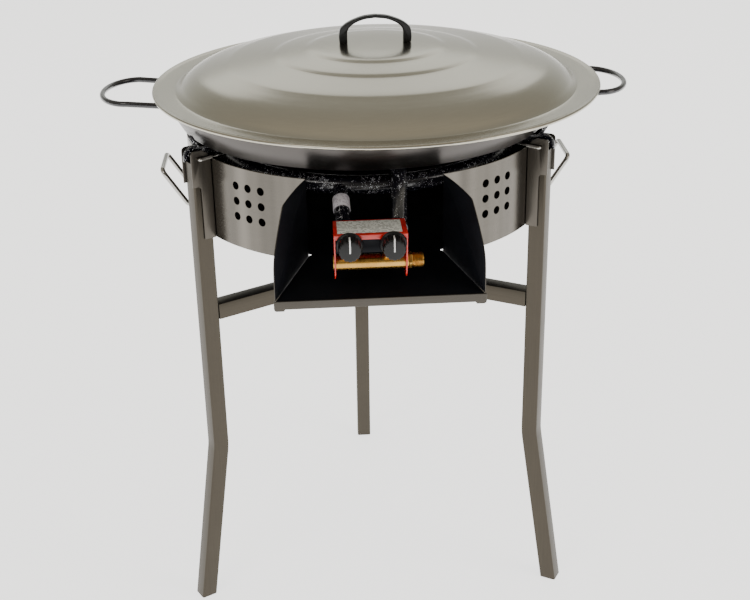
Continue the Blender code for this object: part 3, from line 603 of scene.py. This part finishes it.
def make_tray():
    """Flared cheeks, stainless outside and black inside as painted shade and dark reflection, a black
    floor as painted shade, and a folded lip.
    """
    depth = -0.2545 - TRAY_FRONT_Y
    flare = math.atan2(TRAY_FRONT_HALF - OPENING_HALF, depth)
    for side, sign in (("left", -1.0), ("right", 1.0)):
        mesh = plate(cheek_outline(), TRAY_SHEET, 0.0004)
        direction = math.atan2(-math.cos(flare), sign * math.sin(flare))
        start = Vector((sign * (OPENING_HALF - 0.0006), -0.2550, 0.0))
        turn = Matrix.Rotation(direction, 4, "Z")
        mesh.transform(Matrix.Translation(AXIS + start) @ turn)
        cheek = finish_piece(f"tray_cheek_{side}_plate", mesh, BRUSHED_WIDE, "stand", "stainless",
                             f"tray_cheek_{side}")
        # The inward cheek faces take the black material: painted shade and dark reflection inside the
        # tray.
        cheek.data.materials.append(BLACK_SHEET_AND_PAINTED_SHADE)
        inward = Vector((-sign * math.cos(flare), -math.sin(flare), 0.0))
        for face in cheek.data.polygons:
            face.material_index = 1 if face.normal.dot(inward) > 0.9 else 0
    softened("tray_lip", 0.0009, BRUSHED_WIDE, "stand", "stainless", 4)
    # The tray floor and the shield floor are black sheets standing for the shade and dark reflection
    # inside the tray and shield: painted shade.
    softened("tray_floor", 0.0003, BLACK_SHEET_AND_PAINTED_SHADE, "stand", "black_sheet")
    softened("shield_floor", 0.0003, BLACK_SHEET_AND_PAINTED_SHADE, "stand", "black_sheet")


def make_bails():
    half = 0.042
    foot_x = -math.sqrt(SHIELD_RADIUS ** 2 - half ** 2) - 0.0013
    points = [(foot_x, -half, 0.6330), (foot_x - 0.006, -half, 0.6350), (-0.3095, -half, 0.6880),
              (-0.3095, half, 0.6880), (foot_x - 0.006, half, 0.6350), (foot_x, half, 0.6330)]
    for side, azimuth in (("left", 0.0), ("right", 180.0)):
        bail = swung(wire(rounded_path(points, 0.010), BAIL_ROD), azimuth)
        finish_piece(f"shield_handle_{side}_wire", bail, CHROME, "stand", "bright_wire",
                     f"shield_handle_{side}")


# ---- burner ---------------------------------------------------------------------------
def make_ring(name, ring_radius, ports, node):
    """Ring tube with a row of flame ports drilled round its upper inside."""
    profile = [(r, RING_Z + z) for r, z in arc((ring_radius, 0.0), RING_TUBE, 0, -345, 23)]
    tube = turned(name, profile, 192, ring=True)
    holes = []
    for i in range(ports):
        angle = 2 * math.pi * (i + 0.5) / ports
        away = Vector((math.cos(angle), math.sin(angle), 0.0))
        tilt = away * 0.45 + Vector((0, 0, 0.9))
        start = AXIS + away * (ring_radius + RING_TUBE * 0.35) + Vector((0, 0, RING_Z + RING_TUBE * 0.55))
        holes.append(pointed(rod(0.0011, 0.012, 10, 0.0), start, tilt))
    finish_piece(name, cut(tube, holes), ENAMEL, "burner", "speckled_enamel", node)


def mixing_paths():
    """Centre lines of the two mixing tubes, from the valve end to the ring."""
    mouth_z = 0.6816
    left_x = -0.0465
    right_x = 0.0355
    over_z = 0.7432
    left_end = -math.sqrt(OUTER_RING ** 2 - left_x ** 2)
    right_end = -math.sqrt(INNER_RING ** 2 - right_x ** 2)
    left = [(-0.0450, -0.2996, mouth_z), (-0.0452, -0.286, mouth_z), (left_x, left_end, RING_Z - 0.0005)]
    right = [(0.0305, -0.2996, mouth_z), (0.0310, -0.284, mouth_z), (right_x, -0.229, over_z),
             (right_x, -0.158, over_z), (right_x, right_end, RING_Z)]
    return {"left": left, "right": right}


def make_mixing_tubes():
    """Bent tubes with an open mouth at the injectors; they run into their rings."""
    for side, points in mixing_paths().items():
        path = rounded_path(points, 0.030)
        tube = wire(path, MIX_TUBE, 8)
        back = Vector(points[0]) + Vector((0.0, -0.01, 0.0))
        bore = wire([back, *path[:8]], MIX_TUBE - MIX_WALL, 8)
        finish_piece(f"mixing_tube_{side}_bent", swung(cut(tube, [bore])), ENAMEL, "burner",
                     "speckled_enamel", f"mixing_tube_{side}")
    softened("tube_label", 0.0002, PAPER, "burner", "label", 2, 50.0)


def make_arms():
    for side in SIDES:
        softened(f"burner_arm_{side}", 0.0007, ENAMEL, "burner", "speckled_enamel", 3, 25.0)


# ---- gas controls ---------------------------------------------------------------------
def helix_thread(length, crest, root, bore, pitch, sides=48):
    """Outside thread along +Z with a through bore."""
    bm = bmesh.new()
    rings = []
    per_turn = 8
    count = int(length / pitch * per_turn)
    for i in range(count + 1):
        z = length * i / count
        ring = []
        for j in range(sides):
            angle = 2 * math.pi * j / sides
            phase = (z / pitch - j / sides) % 1.0
            height = 1.0 - abs(2.0 * phase - 1.0)
            fade = min(1.0, z / pitch, (length - z) / pitch)
            radius = root + (crest - root) * min(1.0, height * 1.5) * fade
            ring.append(bm.verts.new((radius * math.cos(angle), radius * math.sin(angle), z)))
        rings.append(ring)
    for z in (length, 0.0):
        rings.append([bm.verts.new((bore * math.cos(2 * math.pi * j / sides),
                                    bore * math.sin(2 * math.pi * j / sides), z))
                      for j in range(sides)])
    for lower, upper in zip(rings, [*rings[1:], rings[0]]):
        for j in range(sides):
            k = (j + 1) % sides
            bm.faces.new((lower[j], lower[k], upper[k], upper[j]))
    return smooth(from_bmesh(bm, "thread"), 50.0)


def make_manifold():
    low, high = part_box("gas_manifold")
    along = Vector((1, 0, 0))
    tube = pointed(rod((high.z - low.z) / 2, high.x - low.x, 64, 0.0008),
                   (low.x, MANIFOLD.y, MANIFOLD.z), along)
    finish_piece("gas_manifold_bar", tube, BRASS, "burner", "brass", "gas_manifold")
    softened("inlet_collar", 0.0007, BRASS, "burner", "brass", 3)
    low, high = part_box("gas_inlet")
    thread = pointed(helix_thread(high.x - low.x, 0.0104, 0.0092, 0.0062, 0.0016),
                     (low.x, MANIFOLD.y, MANIFOLD.z), along)
    finish_piece("gas_inlet_thread", thread, BRASS, "burner", "brass", "gas_inlet")


def make_controls():
    softened("valve_bracket", 0.0006, RED_PAINT, "burner", "red_paint", 3)
    softened("valve_front_plate", 0.0004, BLACK_SHEET_AND_PAINTED_SHADE, "burner", "black_sheet")
    softened("spec_label", 0.0001, LABEL, "burner", "label")
    for side in ("left", "right"):
        softened(f"valve_body_{side}", 0.0014, BRASS, "burner", "brass", 3)
        softened(f"injector_{side}", 0.0004, BRASS, "burner", "brass", 2)
        softened(f"valve_spindle_{side}", 0.0005, CHROME, f"spindle_{side}", "bright_wire", 2)
        make_knob(side)


def knob_section(angle, base, depth_of_flute, flutes):
    """Radius of the fluted grip: round lands between narrow hollows."""
    return base - depth_of_flute * max(0.0, math.cos(flutes * angle)) ** 2


def make_knob(side):
    """Skirt, fluted grip with a rounded crown, and a white bar let into the front."""
    low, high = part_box(f"knob_{side}")
    centre = (low + high) / 2
    back = high.y
    depth = high.y - low.y
    skirt = (high.x - low.x) / 2
    stations = [(0.0, skirt - 0.0006, 0.0), (0.0006, skirt, 0.0), (0.0032, skirt - 0.0008, 0.0),
                (0.0038, skirt - 0.0014, 0.0), (0.0042, 0.0154, 0.0), (0.0052, 0.0153, 0.0010),
                (depth - 0.0030, 0.0150, 0.0011), (depth - 0.0013, 0.0146, 0.0010),
                (depth - 0.0004, 0.0138, 0.0006), (depth, 0.0124, 0.0)]
    sides = 168
    bm = bmesh.new()
    rings = []
    for along, radius, flute in stations:
        ring = []
        for i in range(sides):
            angle = 2 * math.pi * i / sides
            r = knob_section(angle, radius, flute, 14)
            ring.append(bm.verts.new((centre.x + r * math.cos(angle), back - along,
                                      KNOB_AT[side].z + r * math.sin(angle))))
        rings.append(ring)
    for lower, upper in zip(rings, rings[1:]):
        for i in range(sides):
            j = (i + 1) % sides
            bm.faces.new((lower[i], lower[j], upper[j], upper[i]))
    bm.faces.new(rings[0])
    bm.faces.new(rings[-1])
    mesh = smooth(from_bmesh(bm, f"knob_{side}_fluted"), 45.0)
    finish_piece(f"knob_{side}_fluted", mesh, BLACK_PLASTIC, f"knob_{side}", "black_plastic",
                 f"knob_{side}")
    softened(f"knob_pointer_{side}", 0.0004, WHITE_MARK, f"knob_{side}", "white_mark")


# ---- pan and lid ----------------------------------------------------------------------
def pan_profile():
    """Inside from the middle to the rolled rim, then down the outside."""
    base = 0.2705
    low = PAN_BOTTOM_Z
    sheet = PAN_SHEET
    rim_r = PAN_RIM_RADIUS
    rim_z = PAN_RIM_Z
    inside = [(0.0, low + sheet), (0.10, low + sheet), (base - 0.004, low + sheet),
              *arc((base - 0.004, low + sheet + 0.010), 0.010, -90, -32, 8),
              (rim_r - 0.0022, rim_z - 0.003)]
    roll = arc((rim_r + 0.0010, rim_z - 0.0012), 0.0023, 130, -120, 12)
    outside = [(rim_r, rim_z - 0.0048), (base + 0.0086, low + 0.0064),
               *arc((base - 0.003, low + 0.0122), 0.0122, -32, -90, 8), (0.10, low), (0.0, low)]
    return [*inside, *roll, *outside]


def make_pan():
    pan = turned("pan_body_spun", pan_profile(), 288)
    finish_piece("pan_body_spun", pan, PAN_STEEL, "pan", "polished_steel", "pan_body")
    half = PAN_HANDLE_HALF
    wall_z = 0.7925
    bow_x = 0.3480
    bow = arc((0.0, 0.0), 1.0, 90, -90, 40)
    path = [(0.2880, half - 0.002, wall_z), (0.300, half - 0.001, wall_z + 0.0008),
            *[(bow_x + (PAN_HANDLE_REACH - bow_x) * out, half * across, 0.7975) for out, across in bow],
            (0.300, 0.001 - half, wall_z + 0.0008), (0.2880, 0.002 - half, wall_z)]
    for side, azimuth in (("left", 180.0), ("right", 0.0)):
        mesh = swung(wire([Vector(p) for p in path], PAN_HANDLE_ROD), azimuth + PAN_TURN_DEG)
        finish_piece(f"pan_handle_{side}_bow", mesh, ENAMEL_PLAIN, "pan", "speckled_enamel",
                     f"pan_handle_{side}")


def lid_outer():
    """Upper side from the middle to the flange: shallow dome with three pressed steps."""
    points = [(0.0, 0.8640), (0.050, 0.8633), (0.080, 0.8619), (0.0940, 0.8606), (0.1010, 0.8591),
              (0.1080, 0.8576), (0.126, 0.8554), (0.1430, 0.8531), (0.1500, 0.8515),
              (0.1570, 0.8499), (0.180, 0.8469), (0.205, 0.8438), (0.2180, 0.8419),
              (0.2250, 0.8402), (0.2320, 0.8384), (0.244, 0.8354), (0.258, 0.8315),
              (0.270, 0.8269), (0.280, 0.8217), (0.2885, 0.8156), (0.2945, 0.8100),
              (0.3000, 0.8066), (0.3050, 0.8058), (0.318, 0.8062), (0.328, 0.8067)]
    return [tuple(p) for p in spline_through(points, 5)]


def make_lid():
    outer = lid_outer()
    bead = arc((LID_RIM_RADIUS - 0.0026, LID_FLANGE_Z - 0.0002), 0.0026, 105, -165, 14)
    inner = [(max(r - 0.0008, 0.0), z - LID_SHEET) for r, z in reversed(outer[::2])]
    lid = turned("lid_shell_pressed", [*outer, *bead, *inner], 360, about=LID_AXIS)
    finish_piece("lid_shell_pressed", lid, LID_STEEL, "lid", "polished_steel", "lid_shell")
    for side in ("left", "right"):
        softened(f"handle_screw_{side}", 0.0005, CHROME, "lid", "bright_wire", 2)
    make_lid_handle()


def make_lid_handle():
    """Arched grip: one flat moulding with straight legs and a rounded bow."""
    outer = [(-HANDLE_HALF, 0.8638), (-HANDLE_HALF - 0.0004, 0.8690), (-HANDLE_HALF - 0.0006, 0.8740),
             (-HANDLE_HALF + 0.0006, 0.8838), (-0.0490, 0.8888), (-0.0420, 0.8940), (-0.0320, 0.8988),
             (-0.0170, 0.9036), (0.0, 0.9053)]
    inner = [(0.0, 0.9009), (-0.0160, 0.8990), (-0.0290, 0.8942), (-0.0375, 0.8884),
             (-0.0412, 0.8820), (-0.0417, 0.8740), (-HANDLE_HALF + 0.0120, 0.8638)]
    left_out = [tuple(p) for p in spline_through(outer, 4)]
    left_in = [tuple(p) for p in spline_through(inner, 4)]
    right_out = [(-x, z) for x, z in reversed(left_out[:-1])]
    right_in = [(-x, z) for x, z in reversed(left_in[1:])]
    mesh = swung(plate([*left_out, *right_out, *right_in, *left_in], 0.012, 0.0016, 4),
                 offset=LID_AXIS - AXIS)
    finish_piece("lid_handle_bow", mesh, HANDLE_PLASTIC, "lid", "black_plastic", "lid_handle")


# ---- stage ----------------------------------------------------------------------------
def make_floor():
    bm = bmesh.new()
    bmesh.ops.create_circle(bm, cap_ends=True, segments=96, radius=14.0)
    floor = bpy.data.objects.new("floor", from_bmesh(bm, "floor"))
    bpy.context.scene.collection.objects.link(floor)
    paint = Paint("floor_pale", (0.82, 0.82, 0.82), 0.0, 0.9)
    grain = paint.noise(paint.place(), 5.0, 2.0)
    paint.colour(paint.mix(grain, (0.90, 0.90, 0.90), (0.92, 0.92, 0.92)))
    paint.set("Emission Color", (1.0, 1.0, 1.0, 1.0))
    paint.set("Emission Strength", 1.8)
    floor.data.materials.append(paint.mat)


def area_light(name, place, target, size, power, colour):
    light = bpy.data.lights.new(name, "AREA")
    light.shape = "RECTANGLE"
    light.size, light.size_y = size
    light.energy = power
    light.color = colour
    obj = bpy.data.objects.new(name, light)
    bpy.context.scene.collection.objects.link(obj)
    obj.location = place
    obj.rotation_euler = (Vector(target) - Vector(place)).to_track_quat("-Z", "Y").to_euler()
    return obj


def make_world():
    """Room round the set: pale wall behind, dim warm ceiling over the front."""
    world = bpy.data.worlds.new("studio")
    bpy.context.scene.world = world
    world.use_nodes = True
    nodes = world.node_tree.nodes
    links = world.node_tree.links
    coords = nodes.new("ShaderNodeTexCoord")
    parts = nodes.new("ShaderNodeSeparateXYZ")
    links.new(coords.outputs["Generated"], parts.inputs[0])
    turn = nodes.new("ShaderNodeMath")
    turn.operation = "ARCTAN2"
    links.new(parts.outputs["Z"], turn.inputs[0])
    links.new(parts.outputs["Y"], turn.inputs[1])
    share = nodes.new("ShaderNodeMath")
    share.operation = "DIVIDE"
    share.inputs[1].default_value = math.pi
    links.new(turn.outputs[0], share.inputs[0])
    ramp = nodes.new("ShaderNodeValToRGB")
    stops = ROOM_TONES
    while len(ramp.color_ramp.elements) < len(stops):
        ramp.color_ramp.elements.new(0.5)
    for element, (position, colour) in zip(ramp.color_ramp.elements, stops):
        element.position = position
        element.color = (*colour, 1.0)
    links.new(share.outputs[0], ramp.inputs[0])
    back = nodes["Background"]
    links.new(ramp.outputs[0], back.inputs["Color"])
    back.inputs["Strength"].default_value = 1.0


# share of the way from the back horizon (0) over the top (0.5) to the front horizon (1)
ROOM_TONES = [(0.0, (1.0, 1.0, 0.98)), (0.08, (0.66, 0.67, 0.62)), (0.20, (0.43, 0.42, 0.37)),
              (0.36, (0.45, 0.425, 0.365)), (0.52, (0.52, 0.48, 0.40)), (0.66, (0.52, 0.475, 0.39)),
              (0.82, (0.17, 0.15, 0.12)), (1.0, (0.28, 0.265, 0.24))]


def make_lights():
    area_light("key_front_left", (-1.9, -2.6, 2.9), (0, 0, 0.6), (1.6, 1.2), 22, (1.0, 0.98, 0.95))
    area_light("fill_right", (2.6, -1.4, 1.7), (0, 0, 0.5), (1.4, 1.8), 20, (1.0, 0.97, 0.93))
    area_light("back_high", (0.1, 3.4, 2.6), (0, 0, 0.8), (3.2, 1.2), 11, (0.98, 1.0, 0.99))


def make_camera():
    """Camera at standing height, a little left of the middle, looking down at the set."""
    data = bpy.data.cameras.new("camera")
    data.lens = 62.24
    data.sensor_width = 36.0
    data.clip_end = 60.0
    camera = bpy.data.objects.new("camera", data)
    bpy.context.scene.collection.objects.link(camera)
    yaw, pitch, roll = (math.radians(a) for a in (2.970, 24.669, -1.123))
    ahead = Vector((math.sin(yaw) * math.cos(pitch), math.cos(yaw) * math.cos(pitch), -math.sin(pitch)))
    level = Vector((math.cos(yaw), -math.sin(yaw), 0.0))
    upward = level.cross(ahead)
    right = level * math.cos(roll) + upward * math.sin(roll)
    top = upward * math.cos(roll) - level * math.sin(roll)
    matrix = Matrix((right, top, -ahead)).transposed().to_4x4()
    matrix.translation = AXIS + Vector((-0.08904, -1.91889, 1.32222))
    camera.matrix_world = matrix
    bpy.context.scene.camera = camera


def main():
    make_camera()
    make_world()
    make_lights()
    make_floor()
    make_legs()
    make_pins()
    make_shield()
    make_tray()
    make_bails()
    make_ring("burner_outer_ring_tube", OUTER_RING, 72, "burner_outer_ring")
    make_ring("burner_inner_ring_tube", INNER_RING, 40, "burner_inner_ring")
    make_mixing_tubes()
    make_arms()
    make_manifold()
    make_controls()
    make_pan()
    make_lid()


main()
